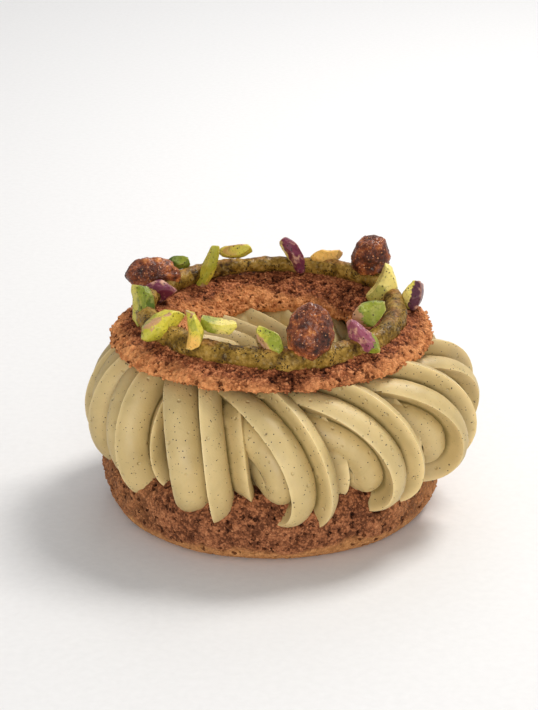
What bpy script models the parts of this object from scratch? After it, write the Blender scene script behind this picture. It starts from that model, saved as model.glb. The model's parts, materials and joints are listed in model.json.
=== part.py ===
"""Pistachio paris-brest: a choux ring split in two around a coil of piped cream.

The lid carries a ring of pistachio praline, set with caramelised nuts and cut pistachios.
Blender works in metres; the sizes below are in millimetres. +Z is up, the origin is on the
table under the middle of the pastry, and -Y is the side that faces the viewer.
"""
import math

import bmesh
import bpy
import numpy as np
from mathutils import Matrix, Vector, noise

MM = 0.001
GAP = 0.3

# Lower shell: a flat-bottomed ring of baked choux under a cracked sugar crust.
BASE_X = -2.9
BASE_RADIUS = 41.9
BASE_HOLE = 14.0
BASE_FOOT = 35.8
BASE_TOP = 17.0
BASE_BEND = 10.0
BASE_SHOULDER = 5.0
BASE_LIP = 4.0
BASE_STEPS = 60
BASE_PITS = 1.2

# Cream: one star-shaped rope coiled round the ring.
RING_RADIUS = 29.0
COIL_HEIGHT = 27.2
COIL_X = 0.2
COIL_Y = -0.2
COIL_REACH = 9.5
COIL_RISE = 6.3
COIL_SAG = 7.0
# Each loop of the coil: azimuth of its outside, yaw out of the radial plane, slant, in degrees,
# how far it is lifted and how thick it is.
LOOPS = (
    (-99, 25, 5, 1.0, 1.0), (-83, 15, 4, 1.0, 1.0), (-63, 22, 2, 0.0, 1.0), (-37, 37, 2, 0.0, 1.0),
    (-11, 50, 1, -0.4, 1.03), (20, 50, -2, 0.8, 1.03), (51, 48, -2, 1.7, 0.97), (83, 44, 0, 1.0, 0.9),
    (116, 36, 5, 0.6, 0.88), (150, 32, 8, 0.7, 0.94), (180, 28, 8, 1.0, 1.0), (207, 28, 7, 1.2, 1.02),
    (234, 26, 6, 1.2, 1.0),
)
ROPE_RADIUS = 9.7
ROPE_TEETH = 6
TOOTH_DEPTH = 0.48
TOOTH_LEAN = 0.3
TOOTH_SIDE = 0.06
TOOTH_BULGE = 1.6
GROOVE_AT = 0.13
TOOTH_POINTS = (0.0, 0.13, 0.36, 0.66)
ROPE_BACK = 4.0
CORE_INSET = 2.5
ROPE_RINGS = 20
CREAM_TRIANGLES = (5200, 6200)
UNEVEN = 0.035

# Lid: a thinner ring, its hole off centre and its crest higher at the back.
LID_X = -2.7
LID_RADIUS = 39.2
LID_UNDER = 41.0
LID_CREST = 48.0
LID_HOLE = 18.5
HOLE_SHIFT = 1.7
LID_LEAN = 0.061
LID_TILT = (0.015, -0.02)
LID_STEPS = 64
LID_PITS = 1.3
RIM_WAVE = 0.007

# Praline: an uneven rope piped along the lid's crest.
PRALINE_X = -2.3
PRALINE_RADIUS = 30.3
PRALINE_HEIGHT = 49.0
PRALINE_THICK = 2.55
PRALINE_POINTS = 40
PRALINE_TRIANGLES = 1400

# Caramelised nuts: centre, size along each axis, turn about X, Y and Z in degrees.
NUTS = (
    ((-32.3, 16.4, 52.6), (13.8, 8.2, 8.0), (0, 6, 8)),
    ((5.9, -30.4, 53.9), (11.0, 8.8, 13.4), (-6, 5, 0)),
    ((22.0, 21.2, 55.6), (9.6, 8.8, 11.6), (4, 8, 0)),
)

# Pistachio pieces: kind, centre, size (long, wide, thick), long axis, roll in degrees.
PIECES = (
    ("wedge", (-34.1, -2.8, 50.8), (10.8, 6.4, 3.8), (-0.1, 0.5, 0.86), 20),
    ("half", (-31.0, 8.4, 50.4), (10.0, 5.8, 4.2), (0.98, 0.05, 0.15), 80),
    ("half", (-28.3, -17.2, 50.9), (12.2, 5.6, 4.4), (0.76, 0.56, 0.33), 75),
    ("wedge", (-20.9, -25.0, 52.5), (9.4, 6.0, 3.2), (-0.04, 0.33, 0.94), 10),
    ("sliver", (-15.1, -22.4, 52.5), (8.8, 4.6, 2.8), (0.96, -0.2, -0.1), 0),
    ("chunk", (-3.3, -29.8, 51.0), (9.2, 6.2, 3.6), (-0.40, 0.25, 0.88), 25),
    ("sliver", (-26.2, 23.3, 53.4), (5.8, 3.2, 2.6), (0.97, -0.1, 0.05), 30),
    ("sliver", (-18.6, 21.4, 52.6), (12.8, 3.4, 2.8), (0.36, -0.05, 0.93), 20),
    ("sliver", (-12.1, 30.4, 54.0), (8.8, 3.2, 2.8), (0.98, 0.1, 0.08), 60),
    ("sliver", (2.9, 28.6, 53.8), (10.4, 4.0, 3.2), (-0.52, 0.1, 0.85), 15),
    ("chunk", (11.2, 28.8, 53.0), (8.2, 5.0, 4.2), (0.98, -0.15, 0.05), 10),
    ("wedge", (24.7, 10.8, 51.5), (10.2, 7.6, 4.6), (0.45, 0.2, 0.87), 15),
    ("half", (31.5, 4.8, 51.0), (7.8, 6.6, 4.8), (0.2, 0.15, 0.95), -20),
    ("chunk", (20.1, -13.6, 52.6), (8.2, 5.6, 5.0), (0.93, -0.1, 0.2), 20),
    ("half", (18.4, -24.4, 51.0), (10.4, 5.0, 3.4), (0.75, -0.39, -0.54), 35),
)

# Cuts that turn a whole kernel into each kind: a plane's normal and how far out it lies.
CUTS = {
    "half": (((0, 0, -1), 0.18), ((0.9, 0.3, 0.1), 0.80)),
    "wedge": (((0, 0.5, -0.87), 0.22), ((0.1, 0.6, 0.80), 0.42), ((0.96, -0.2, 0), 0.82)),
    "sliver": (((0, 0.1, -1), 0.30), ((0, -0.1, 1), 0.62), ((0.97, 0.2, 0), 0.88)),
    "chunk": (((0.3, 0.2, -0.93), 0.32), ((-0.85, 0.45, 0.2), 0.58), ((0.6, -0.7, 0.4), 0.55)),
}
KERNEL_SUBDIVISIONS = 2
NUT_SUBDIVISIONS = 3
NUT_LUMPS = 0.55

# Colours: base colour, then roughness.
CRUST = ((0.32, 0.13, 0.06), 0.8)
CREAM = ((0.50, 0.43, 0.21), 0.55)
PRALINE = ((0.26, 0.19, 0.06), 0.35)
CARAMEL = ((0.16, 0.045, 0.02), 0.3)
PISTACHIO = ((0.36, 0.42, 0.07), 0.5)
SKIN = ((0.20, 0.05, 0.09), 0.55)
PURPLE_PIECES = (2, 10, 15)


def clear_scene():
    """Empty the scene without closing the file."""
    for old in list(bpy.data.objects):
        bpy.data.objects.remove(old, do_unlink=True)


def make_material(name, look):
    """A plain Principled material."""
    colour, roughness = look
    material = bpy.data.materials.new(name)
    material.use_nodes = True
    shader = material.node_tree.nodes["Principled BSDF"]
    shader.inputs["Base Color"].default_value = (*colour, 1.0)
    shader.inputs["Roughness"].default_value = roughness
    shader.inputs["Metallic"].default_value = 0.0
    return material


def object_from_mesh(name, mesh, collection):
    """Put a mesh in the scene as a named object."""
    thing = bpy.data.objects.new(name, mesh)
    collection.objects.link(thing)
    return thing


def evaluated_mesh(thing):
    """The mesh that an object shows once its modifiers have run."""
    depsgraph = bpy.context.evaluated_depsgraph_get()
    depsgraph.update()
    return bpy.data.meshes.new_from_object(thing.evaluated_get(depsgraph), depsgraph=depsgraph)


def apply_modifiers(thing):
    """Replace an object's mesh with what its modifiers make of it."""
    mesh = evaluated_mesh(thing)
    thing.modifiers.clear()
    thing.data = mesh


def vertex_array(mesh):
    """A mesh's vertices as an array of millimetres."""
    flat = np.empty(len(mesh.vertices) * 3)
    mesh.vertices.foreach_get("co", flat)
    return flat.reshape(-1, 3) / MM


def set_vertices(mesh, points):
    """Move a mesh's vertices to an array of millimetres."""
    mesh.vertices.foreach_set("co", (np.asarray(points) * MM).ravel())
    mesh.update()


def arc(centre, radii, start, stop, count):
    """Points of an elliptical arc, from one angle in degrees to another."""
    angles = np.radians(np.linspace(start, stop, count))
    return [(centre[0] + radii[0] * math.cos(a), centre[1] + radii[1] * math.sin(a)) for a in angles]


def offset_profile(profile, distance):
    """A closed outline that runs clockwise, moved outwards."""
    points = np.array(profile)
    before = points - np.roll(points, 1, axis=0)
    after = np.roll(points, -1, axis=0) - points
    normals = []
    for edge in (before, after):
        normal = np.stack([-edge[:, 1], edge[:, 0]], axis=1)
        normals.append(normal / np.linalg.norm(normal, axis=1)[:, None])
    middle = normals[0] + normals[1]
    middle /= np.linalg.norm(middle, axis=1)[:, None]
    stretch = distance / np.clip((middle * normals[0]).sum(axis=1), 0.6, 1.0)
    return (points + middle * stretch[:, None]).tolist()


def lathe(name, profile, steps, collection):
    """Turn a closed outline about the vertical axis with a Screw modifier."""
    mesh = bpy.data.meshes.new(name)
    points = [(r * MM, 0.0, z * MM) for r, z in profile]
    edges = [(i, (i + 1) % len(points)) for i in range(len(points))]
    mesh.from_pydata(points, edges, [])
    ring = object_from_mesh(name, mesh, collection)
    screw = ring.modifiers.new("turn", "SCREW")
    screw.axis = "Z"
    screw.steps = screw.render_steps = steps
    screw.use_merge_vertices = True
    screw.merge_threshold = 0.00001
    apply_modifiers(ring)
    return ring


def base_profile():
    """Outline of the lower shell, from its top edge down the outside and back inside."""
    middle = (BASE_RADIUS - BASE_SHOULDER, BASE_BEND)
    shoulder = arc(middle, (BASE_SHOULDER, BASE_TOP - BASE_BEND), 90, 0, 6)
    belly = arc((BASE_FOOT, BASE_BEND), (BASE_RADIUS - BASE_FOOT, BASE_BEND), -25, -90, 4)
    inside = [(BASE_HOLE + 2.0, 0.0), (BASE_HOLE, 2.0)]
    lip = arc((BASE_HOLE + BASE_LIP, BASE_TOP - BASE_LIP), (BASE_LIP, BASE_LIP), 180, 90, 4)
    return shoulder + belly + inside + lip


def lid_profile():
    """Outline of the lid, from its crest down the outside and back under to the hole."""
    outside = [(30.5, LID_CREST), (34.0, 47.3), (36.8, 46.0), (38.5, 44.7),
               (LID_RADIUS, 43.2), (38.7, 41.9), (37.4, LID_UNDER)]
    under = [(29.0, LID_UNDER), (21.0, LID_UNDER + 0.2)]
    inside = [(LID_HOLE + 0.6, 41.9), (LID_HOLE, 43.0), (LID_HOLE + 1.0, 44.4), (21.8, 45.8), (26.0, 47.2)]
    return outside + under + inside


def rim_wave(points, start, stop, seed):
    """Push a ring's rim in and out by a few slow waves, fading towards its middle."""
    x, y, z = points.T
    azimuth = np.arctan2(x, -y)
    inner = np.clip((np.hypot(x, y) - start) / (stop - start), 0.0, 1.0)
    wave = np.sin(3 * azimuth + seed) + 0.8 * np.sin(5 * azimuth + 2 * seed) + 0.6 * np.sin(11 * azimuth)
    scale = 1.0 + RIM_WAVE * wave * inner
    return x * scale, y * scale, z


def shape_lid(points):
    """Shift the lid's hole, raise its crest at the back and lean it a little."""
    x, y, z = rim_wave(points, 30.0, LID_RADIUS, 0.7)
    radius = np.hypot(x, y)
    shift = HOLE_SHIFT * (LID_RADIUS - radius) / (LID_RADIUS - LID_HOLE)
    height = (z - LID_UNDER) / (LID_CREST - LID_UNDER)
    z = z + height * LID_LEAN * y + LID_TILT[0] * x + LID_TILT[1] * y
    return np.stack([x + shift + LID_X, y, z], axis=1)


def shape_base(points):
    """Make the lower shell's rim uneven and slide it to its place."""
    x, y, z = rim_wave(points, 30.0, BASE_RADIUS, 2.1)
    return np.stack([x + BASE_X, y, z], axis=1)


def pit_depth(point, seed):
    """How deep the cracked crust lies below its smooth outline, 0 to 1."""
    place = Vector(point) + Vector((seed, 2.0 * seed, 3.0 * seed))
    coarse = noise.fractal(place * 0.16, 1.0, 2.0, 2, noise_basis="PERLIN_ORIGINAL")
    fine = noise.fractal(place * 0.42, 1.0, 2.0, 2, noise_basis="PERLIN_ORIGINAL")
    return min(max(0.5 - 0.6 * coarse - 0.8 * fine, 0.0), 1.0)


def crackle(ring, depth, seed, keep_flat):
    """Press pits into a ring's crust, inwards only, and leave its flat faces alone."""
    points = vertex_array(ring.data)
    flat = np.empty(len(points) * 3)
    ring.data.vertices.foreach_get("normal", flat)
    normals = flat.reshape(-1, 3)
    for i, point in enumerate(points):
        amount = keep_flat(point) * depth * pit_depth(point, seed)
        points[i] = point - normals[i] * amount
    set_vertices(ring.data, points)


def base_crust(point):
    """Where the lower shell has relief: all of its outside, fading to none on the table."""
    if math.hypot(point[0] - BASE_X, point[1]) < BASE_RADIUS - BASE_SHOULDER - 1.0:
        return 0.0
    return min(max((point[2] - 1.0) / 3.0, 0.0), 1.0)


def lid_crust(point):
    """Where the lid has relief: not on its underside, and little under the praline."""
    tilt = LID_TILT[0] * point[0] + LID_TILT[1] * point[1]
    above = min(max((point[2] - tilt - LID_UNDER - 0.3) / 1.5, 0.0), 1.0)
    track = abs(math.hypot(point[0] - PRALINE_X, point[1]) - PRALINE_RADIUS) / PRALINE_THICK
    return above * min(max(track - 0.5, 0.15), 1.0)


def make_shell(name, profile, steps, shape, collection):
    """Turn one of the choux rings and bend it to its place."""
    ring = lathe(name, profile, steps, collection)
    set_vertices(ring.data, shape(vertex_array(ring.data)))
    return ring


def along_coil(values, turn):
    """A smooth closed curve through one value for each loop, read where its outside lies."""
    count = len(LOOPS)
    waves = np.fft.rfft(values) / count
    result = waves[0].real
    for order in range(1, len(waves)):
        angle = 2 * math.pi * order * (turn - 0.25) / count
        result = result + 2 * (waves[order].real * np.cos(angle) - waves[order].imag * np.sin(angle))
    return result


def coil_azimuth(turn):
    """Azimuth of the coil at a given turn: an even advance, bent to each loop's own place."""
    step = 2 * math.pi / len(LOOPS)
    places = np.radians([loop[0] for loop in LOOPS])
    return step * turn + along_coil(places - step * (np.arange(len(LOOPS)) + 0.25), turn)


def uneven(turn, phase):
    """A slow wave along the coil, for a hand-piped size."""
    lap = 2 * math.pi * turn / len(LOOPS)
    return 1.0 + UNEVEN * (np.sin(4 * lap + phase) + 0.7 * np.sin(7 * lap + 2.3 * phase))


def section_offset(angle, grow=0.0):
    """Where the rope's path lies in the ring's cross-section, out and up from its centre."""
    out = (COIL_REACH + grow) * np.cos(angle)
    up = (COIL_RISE + grow) * np.sin(angle) - COIL_SAG * np.cos(angle) * (1 - np.sin(angle)) / 2
    return out, up


def on_ring(radius, azimuth, height):
    """A point of the cream ring; azimuth 0 faces the viewer and grows to the right."""
    return np.stack([COIL_X + radius * np.sin(azimuth), COIL_Y - radius * np.cos(azimuth), height], axis=-1)


def lift(turn):
    """How far the coil is raised beside a given turn."""
    return along_coil(np.array([loop[3] for loop in LOOPS]), turn)


def girth(turn):
    """How thick the coil is beside a given turn."""
    return along_coil(np.array([loop[4] for loop in LOOPS]), turn)


def coil_point(turn):
    """The rope's path: over the top, down the outside, in underneath and up the inside."""
    angle = math.pi / 2 - 2 * math.pi * turn
    out, up = section_offset(angle)
    out = out * uneven(turn, 0.4) + ROPE_RADIUS * (1 - girth(turn)) * np.cos(angle)
    radius = RING_RADIUS + out
    yaw = along_coil(np.radians([loop[1] for loop in LOOPS]), turn)
    slant = along_coil(np.radians([loop[2] for loop in LOOPS]), turn)
    azimuth = coil_azimuth(turn) + out * np.tan(yaw) / radius + slant * np.sin(angle)
    return on_ring(radius, azimuth, COIL_HEIGHT + up * girth(turn) + lift(turn))


def coil_centre(turn):
    """The middle of the ring's cross-section beside a point of the coil."""
    return on_ring(RING_RADIUS, coil_azimuth(turn), COIL_HEIGHT + lift(turn))


def star_section():
    """Half-round star section of the rope: teeth steep on one side, a flat back inside."""
    outline = []
    for tooth in range(ROPE_TEETH):
        for place in TOOTH_POINTS:
            if place <= GROOVE_AT:
                fall = place / GROOVE_AT
            else:
                fall = ((1 - place) / (1 - GROOVE_AT)) ** TOOTH_BULGE
            angle = 2 * math.pi * (tooth + place + TOOTH_SIDE * (1 - fall)) / ROPE_TEETH - math.pi
            radius = ROPE_RADIUS * (1 - TOOTH_DEPTH * fall)
            lean = TOOTH_LEAN * (radius - ROPE_RADIUS * (1 - TOOTH_DEPTH))
            out = math.cos(angle) * radius + lean * (0.35 + 0.65 * abs(math.sin(angle)))
            outline.append((out, math.sin(angle) * radius))
    front = [point for point in outline if point[0] > -ROPE_BACK]
    side = [min(p[1] for p in front), max(p[1] for p in front)]
    return [(-ROPE_BACK, side[0] * 0.8)] + front + [(-ROPE_BACK, side[1] * 0.8)]


def rope_segment(name, start, stop, rings, collection):
    """Loft one closed length of the rope, its ends drawn in so that lengths overlap cleanly."""
    section = np.array(star_section())
    turns = np.linspace(start, stop, rings)
    step = 1e-4
    path = coil_point(turns)
    ahead = coil_point(turns + step) - coil_point(turns - step)
    ahead /= np.linalg.norm(ahead, axis=1)[:, None]
    outward = path - coil_centre(turns)
    outward -= (outward * ahead).sum(axis=1)[:, None] * ahead
    outward /= np.linalg.norm(outward, axis=1)[:, None]
    across = np.cross(ahead, outward)
    size = uneven(turns, 1.7) * girth(turns)
    size[[0, -1]] *= 0.8
    points = (path[:, None] + (size[:, None] * section[:, 0])[..., None] * outward[:, None]
              + (size[:, None] * section[:, 1])[..., None] * across[:, None]).reshape(-1, 3)
    count = len(section)
    faces = [(r * count + i, r * count + (i + 1) % count, (r + 1) * count + (i + 1) % count,
              (r + 1) * count + i) for r in range(rings - 1) for i in range(count)]
    faces.append(tuple(range(count))[::-1])
    faces.append(tuple(range((rings - 1) * count, rings * count)))
    mesh = bpy.data.meshes.new(name)
    mesh.from_pydata((points * MM).tolist(), [], faces)
    face_outwards(mesh)
    return object_from_mesh(name, mesh, collection)


def face_outwards(mesh):
    """Turn every face of a closed mesh outwards."""
    work = bmesh.new()
    work.from_mesh(mesh)
    bmesh.ops.recalc_face_normals(work, faces=work.faces)
    work.to_mesh(mesh)
    work.free()


def boolean(thing, operation, collection):
    """Join an object with a collection, or cut it by one, and drop that collection's objects."""
    modifier = thing.modifiers.new(operation.lower(), "BOOLEAN")
    modifier.operation = operation
    modifier.operand_type = "COLLECTION"
    modifier.collection = collection
    modifier.solver = "MANIFOLD"
    apply_modifiers(thing)
    for used in list(collection.objects):
        bpy.data.objects.remove(used, do_unlink=True)
    bpy.data.collections.remove(collection)


def keep_largest(mesh):
    """Drop loose scraps and the walls of sealed hollows, so that one closed body is left."""
    work = bmesh.new()
    work.from_mesh(mesh)
    bmesh.ops.triangulate(work, faces=work.faces)
    unseen = set(work.verts)
    shells = []
    while unseen:
        stack = [unseen.pop()]
        shell = set(stack)
        while stack:
            for edge in stack.pop().link_edges:
                for vert in edge.verts:
                    if vert in unseen:
                        unseen.discard(vert)
                        shell.add(vert)
                        stack.append(vert)
        shells.append(shell)
    shells.sort(key=len)
    for shell in shells[:-1]:
        bmesh.ops.delete(work, geom=list(shell), context="VERTS")
    work.to_mesh(mesh)
    work.free()


def thin_out(thing, triangles):
    """Collapse the smallest faces until about this many triangles are left."""
    decimate = thing.modifiers.new("thin out", "DECIMATE")
    decimate.ratio = triangles / len(thing.data.polygons)
    apply_modifiers(thing)


def new_collection(name, parent):
    """A collection linked under another."""
    collection = bpy.data.collections.new(name)
    parent.children.link(collection)
    return collection


def make_cream(parts, scene):
    """Coil the rope round a core, fuse the lengths and trim them to both shells."""
    core_outline = [section_offset(math.radians(a), -CORE_INSET) for a in range(90, -270, -30)]
    core = [(RING_RADIUS + out, COIL_HEIGHT + up) for out, up in core_outline]
    cream = lathe("cream_ring", core, 36, parts)
    set_vertices(cream.data, vertex_array(cream.data) + np.array([COIL_X, COIL_Y, 0.0]))
    lengths = new_collection("cream lengths", scene)
    overlap = 0.03
    for turn in range(len(LOOPS)):
        outside = (turn - overlap, turn + 0.75 + overlap)
        inside = (turn + 0.75 - overlap, turn + 1 + overlap)
        rope_segment(f"outside {turn}", *outside, round(ROPE_RINGS * 0.8), lengths)
        rope_segment(f"inside {turn}", *inside, round(ROPE_RINGS * 0.3), lengths)
    boolean(cream, "UNION", lengths)
    keep_largest(cream.data)
    thin_out(cream, CREAM_TRIANGLES[0])
    cutters = new_collection("cream cutters", scene)
    make_shell("base room", offset_profile(base_profile(), GAP), BASE_STEPS, shape_base, cutters)
    make_shell("lid room", offset_profile(lid_profile(), GAP), LID_STEPS, shape_lid, cutters)
    boolean(cream, "DIFFERENCE", cutters)
    keep_largest(cream.data)
    thin_out(cream, CREAM_TRIANGLES[1])
    return cream


def praline_place(azimuth):
    """Centre and thickness of the praline rope at an azimuth: thin at the back, thick in front."""
    wobble = 0.7 * math.sin(3 * azimuth + 0.6) + 0.4 * math.sin(7 * azimuth)
    radius = PRALINE_RADIUS + wobble
    x, y = radius * math.sin(azimuth), -radius * math.cos(azimuth)
    thick = PRALINE_THICK * (1 + 0.20 * math.cos(azimuth) + 0.07 * math.sin(5 * azimuth + 1))
    height = PRALINE_HEIGHT + LID_LEAN * y + 0.25 * math.sin(6 * azimuth)
    return Vector((x + PRALINE_X, y, height)), thick


def make_praline(parts, scene, toppings):
    """Pipe the praline along the crest, seat it on the lid and press the toppings into it."""
    curve = bpy.data.curves.new("praline path", "CURVE")
    curve.dimensions = "3D"
    curve.bevel_depth = MM
    curve.bevel_resolution = 2
    spline = curve.splines.new("POLY")
    spline.points.add(PRALINE_POINTS - 1)
    spline.use_cyclic_u = True
    for i, point in enumerate(spline.points):
        place, thick = praline_place(2 * math.pi * i / PRALINE_POINTS)
        point.co = (*(place * MM), 1.0)
        point.radius = thick
    path = object_from_mesh("praline path", curve, parts)
    mesh = evaluated_mesh(path)
    bpy.data.objects.remove(path, do_unlink=True)
    face_outwards(mesh)
    praline = object_from_mesh("praline_ring", mesh, parts)
    cutters = new_collection("praline cutters", scene)
    make_shell("lid room", offset_profile(lid_profile(), GAP), LID_STEPS, shape_lid, cutters)
    for topping in toppings:
        room = object_from_mesh("room " + topping.name, topping.data.copy(), cutters)
        swell(room.data, GAP)
    boolean(praline, "DIFFERENCE", cutters)
    keep_largest(praline.data)
    thin_out(praline, PRALINE_TRIANGLES)
    return praline


def swell(mesh, distance):
    """Grow a small closed mesh outwards by a distance in millimetres."""
    points = vertex_array(mesh)
    flat = np.empty(len(points) * 3)
    mesh.vertices.foreach_get("normal", flat)
    set_vertices(mesh, points + flat.reshape(-1, 3) * distance * 1.25)


def seat_on_lid(thing, scene):
    """Cut a topping where it would sink into the lid."""
    cutters = new_collection("seat", scene)
    make_shell("lid room", offset_profile(lid_profile(), GAP), LID_STEPS, shape_lid, cutters)
    boolean(thing, "DIFFERENCE", cutters)
    keep_largest(thing.data)


def ball(name, subdivisions, collection):
    """A unit ball, one millimetre in radius."""
    mesh = bpy.data.meshes.new(name)
    work = bmesh.new()
    bmesh.ops.create_icosphere(work, subdivisions=subdivisions, radius=MM)
    work.to_mesh(mesh)
    work.free()
    return object_from_mesh(name, mesh, collection)


def make_nut(number, centre, size, turn, parts):
    """A whole nut in a lumpy coat of caramelised sugar."""
    nut = ball(f"caramelised_nut_{number}", NUT_SUBDIVISIONS, parts)
    points = vertex_array(nut.data)
    half = np.array(size) / 2
    shift = Vector((7.0 * number, 3.0, 0.0))
    lumps = np.array([noise.noise(Vector(p * half * 0.45) + shift) for p in points])
    taper = 1 - 0.10 * points[:, 2]
    points = points * (half + NUT_LUMPS * lumps[:, None])
    points[:, :2] *= taper[:, None]
    x, y, z = (math.radians(angle) for angle in turn)
    rotation = np.array((Matrix.Rotation(z, 3, "Z") @ Matrix.Rotation(y, 3, "Y")
                         @ Matrix.Rotation(x, 3, "X")))
    set_vertices(nut.data, points @ rotation.T + np.array(centre))
    return nut


def cut_kernel(mesh, kind):
    """Slice a unit kernel by its kind's planes and close each cut."""
    work = bmesh.new()
    work.from_mesh(mesh)
    for normal, distance in CUTS[kind]:
        plane = Vector(normal).normalized()
        everything = work.verts[:] + work.edges[:] + work.faces[:]
        cut = bmesh.ops.bisect_plane(work, geom=everything, plane_co=plane * distance * MM,
                                     plane_no=plane, clear_outer=True, dist=MM * 0.001)
        rim = [item for item in cut["geom_cut"] if isinstance(item, bmesh.types.BMEdge)]
        bmesh.ops.edgeloop_fill(work, edges=rim)
    bmesh.ops.recalc_face_normals(work, faces=work.faces)
    bmesh.ops.triangulate(work, faces=work.faces)
    work.to_mesh(mesh)
    work.free()


def make_piece(number, kind, centre, size, axis, roll, parts):
    """A cut piece of pistachio kernel, lying along its axis."""
    piece = ball(f"pistachio_piece_{number:02d}", KERNEL_SUBDIVISIONS, parts)
    cut_kernel(piece.data, kind)
    points = vertex_array(piece.data)
    low, high = points.min(axis=0), points.max(axis=0)
    points = (points - (low + high) / 2) / (high - low) * np.array(size)
    points[:, 2] += 0.22 * size[2] * (2 * points[:, 0] / size[0]) ** 2
    along = Vector(axis).normalized()
    basis = Vector((1, 0, 0)).rotation_difference(along).to_matrix()
    rotation = np.array(basis @ Matrix.Rotation(math.radians(roll), 3, "X"))
    set_vertices(piece.data, points @ rotation.T + np.array(centre))
    return piece


def finish(thing, material, sharp=35):
    """Give an object its material and smooth its round sides."""
    thing.data.materials.clear()
    thing.data.materials.append(material)
    thing.data.shade_smooth()
    thing.data.set_sharp_from_angle(angle=math.radians(sharp))


def build():
    """Make every piece of the pastry."""
    clear_scene()
    scene = bpy.context.scene.collection
    parts = new_collection("pistachio paris-brest", scene)
    crust = make_material("crust", CRUST)
    caramel = make_material("caramel", CARAMEL)
    kernel = make_material("pistachio", PISTACHIO)
    skin = make_material("pistachio skin", SKIN)

    base = make_shell("base_shell", base_profile(), BASE_STEPS, shape_base, parts)
    crackle(base, BASE_PITS, 1.0, base_crust)
    lid = make_shell("top_shell", lid_profile(), LID_STEPS, shape_lid, parts)
    crackle(lid, LID_PITS, 5.0, lid_crust)
    finish(base, crust)
    finish(lid, crust)
    finish(make_cream(parts, scene), make_material("cream", CREAM))

    toppings = []
    for number, (centre, size, turn) in enumerate(NUTS, start=1):
        nut = make_nut(number, centre, size, turn, parts)
        seat_on_lid(nut, scene)
        finish(nut, caramel)
        toppings.append(nut)
    for number, row in enumerate(PIECES, start=1):
        piece = make_piece(number, *row, parts)
        seat_on_lid(piece, scene)
        finish(piece, skin if number in PURPLE_PIECES else kernel)
        toppings.append(piece)
    finish(make_praline(parts, scene, toppings), make_material("praline", PRALINE))


build()
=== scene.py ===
import json
import math

import bmesh
import bpy
import numpy as np
from mathutils import Matrix, Vector, noise

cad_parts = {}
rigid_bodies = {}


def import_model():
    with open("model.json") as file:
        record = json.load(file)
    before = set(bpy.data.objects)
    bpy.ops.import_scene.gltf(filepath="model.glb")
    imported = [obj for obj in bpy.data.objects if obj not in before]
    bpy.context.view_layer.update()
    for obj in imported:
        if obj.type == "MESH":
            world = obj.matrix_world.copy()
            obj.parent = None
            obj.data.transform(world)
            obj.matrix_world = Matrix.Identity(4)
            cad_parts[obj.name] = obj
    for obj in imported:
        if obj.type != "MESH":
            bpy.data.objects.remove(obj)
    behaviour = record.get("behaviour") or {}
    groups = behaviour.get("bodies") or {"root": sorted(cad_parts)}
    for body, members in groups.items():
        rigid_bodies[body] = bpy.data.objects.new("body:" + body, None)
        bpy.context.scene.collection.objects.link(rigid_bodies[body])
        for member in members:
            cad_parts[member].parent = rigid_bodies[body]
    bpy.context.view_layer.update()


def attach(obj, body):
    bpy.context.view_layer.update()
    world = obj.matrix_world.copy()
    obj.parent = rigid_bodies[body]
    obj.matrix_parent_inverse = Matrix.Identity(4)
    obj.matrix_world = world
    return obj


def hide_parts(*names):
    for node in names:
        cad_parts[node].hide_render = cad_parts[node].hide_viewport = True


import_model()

MM = 0.001
BODY = "root"
# Unseeded, the noise module's vectors follow the clock.
NOISE_SEED = 1
noise.seed_set(NOISE_SEED)

# The shapes below are the part's own, in millimetres, so that each piece lies where its solid is.
BASE_X = -2.9
BASE_RADIUS = 41.9
BASE_HOLE = 14.0
BASE_FOOT = 35.8
BASE_TOP = 17.0
BASE_BEND = 10.0
BASE_SHOULDER = 5.0
BASE_LIP = 4.0
BASE_PITS = 1.2
# The crust begins above the smooth foot, outside the part that the cream hides.
BASE_SMOOTH = 1.6
BASE_ROUGH_RISE = 3.0
BASE_HIDDEN = BASE_RADIUS - BASE_SHOULDER - 3.0
BASE_STRETCH = 0.72
BASE_PLATES = 3.2
BASE_BLISTER = (22.6, -32.6, 12.6)

RING_RADIUS = 29.0
COIL_HEIGHT = 27.2
COIL_X = 0.2
COIL_Y = -0.2
COIL_REACH = 9.5
COIL_RISE = 6.3
COIL_SAG = 7.0
# Each loop of the coil: azimuth of its outside, yaw out of the radial plane, slant, in degrees,
# how far it is lifted and how thick it is.
LOOPS = (
    (-99, 25, 5, 1.0, 1.0), (-83, 15, 4, 1.0, 1.0), (-63, 22, 2, 0.0, 1.0), (-37, 37, 2, 0.0, 1.0),
    (-11, 50, 1, -0.4, 1.03), (20, 50, -2, 0.8, 1.03), (51, 48, -2, 1.7, 0.97), (83, 44, 0, 1.0, 0.9),
    (116, 36, 5, 0.6, 0.88), (150, 32, 8, 0.7, 0.94), (180, 28, 8, 1.0, 1.0), (207, 28, 7, 1.2, 1.02),
    (234, 26, 6, 1.2, 1.0),
)
AZIMUTHS, YAWS, SLANTS, LIFTS, GIRTHS = np.array(LOOPS).T
ROPE_RADIUS = 9.7
ROPE_TEETH = 6
TOOTH_DEPTH = 0.48
TOOTH_LEAN = 0.3
TOOTH_SIDE = 0.06
TOOTH_BULGE = 1.6
GROOVE_AT = 0.13
TOOTH_POINTS = (0.0, 0.03, 0.08, 0.115, 0.145, 0.18, 0.23, 0.30, 0.38, 0.47, 0.57, 0.68, 0.79, 0.89, 0.97)
GROOVE_CURVE = 0.9
# The rope's flat back: how far behind its path it lies, and its share of the star's width.
ROPE_BACK = 4.0
BACK_SHARE = 0.8
CORE_INSET = 2.5
CORE_COLUMNS = 120
UNEVEN = 0.035
# Each turn is lofted in an outside and an inside length, whose ends overlap and are drawn in.
OUTSIDE_SHARE = 0.75
OVERLAP = 0.03
OUTSIDE_RINGS = 104
INSIDE_RINGS = 26
END_SIZE = 0.8
SHARP_EDGE = 50

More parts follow.
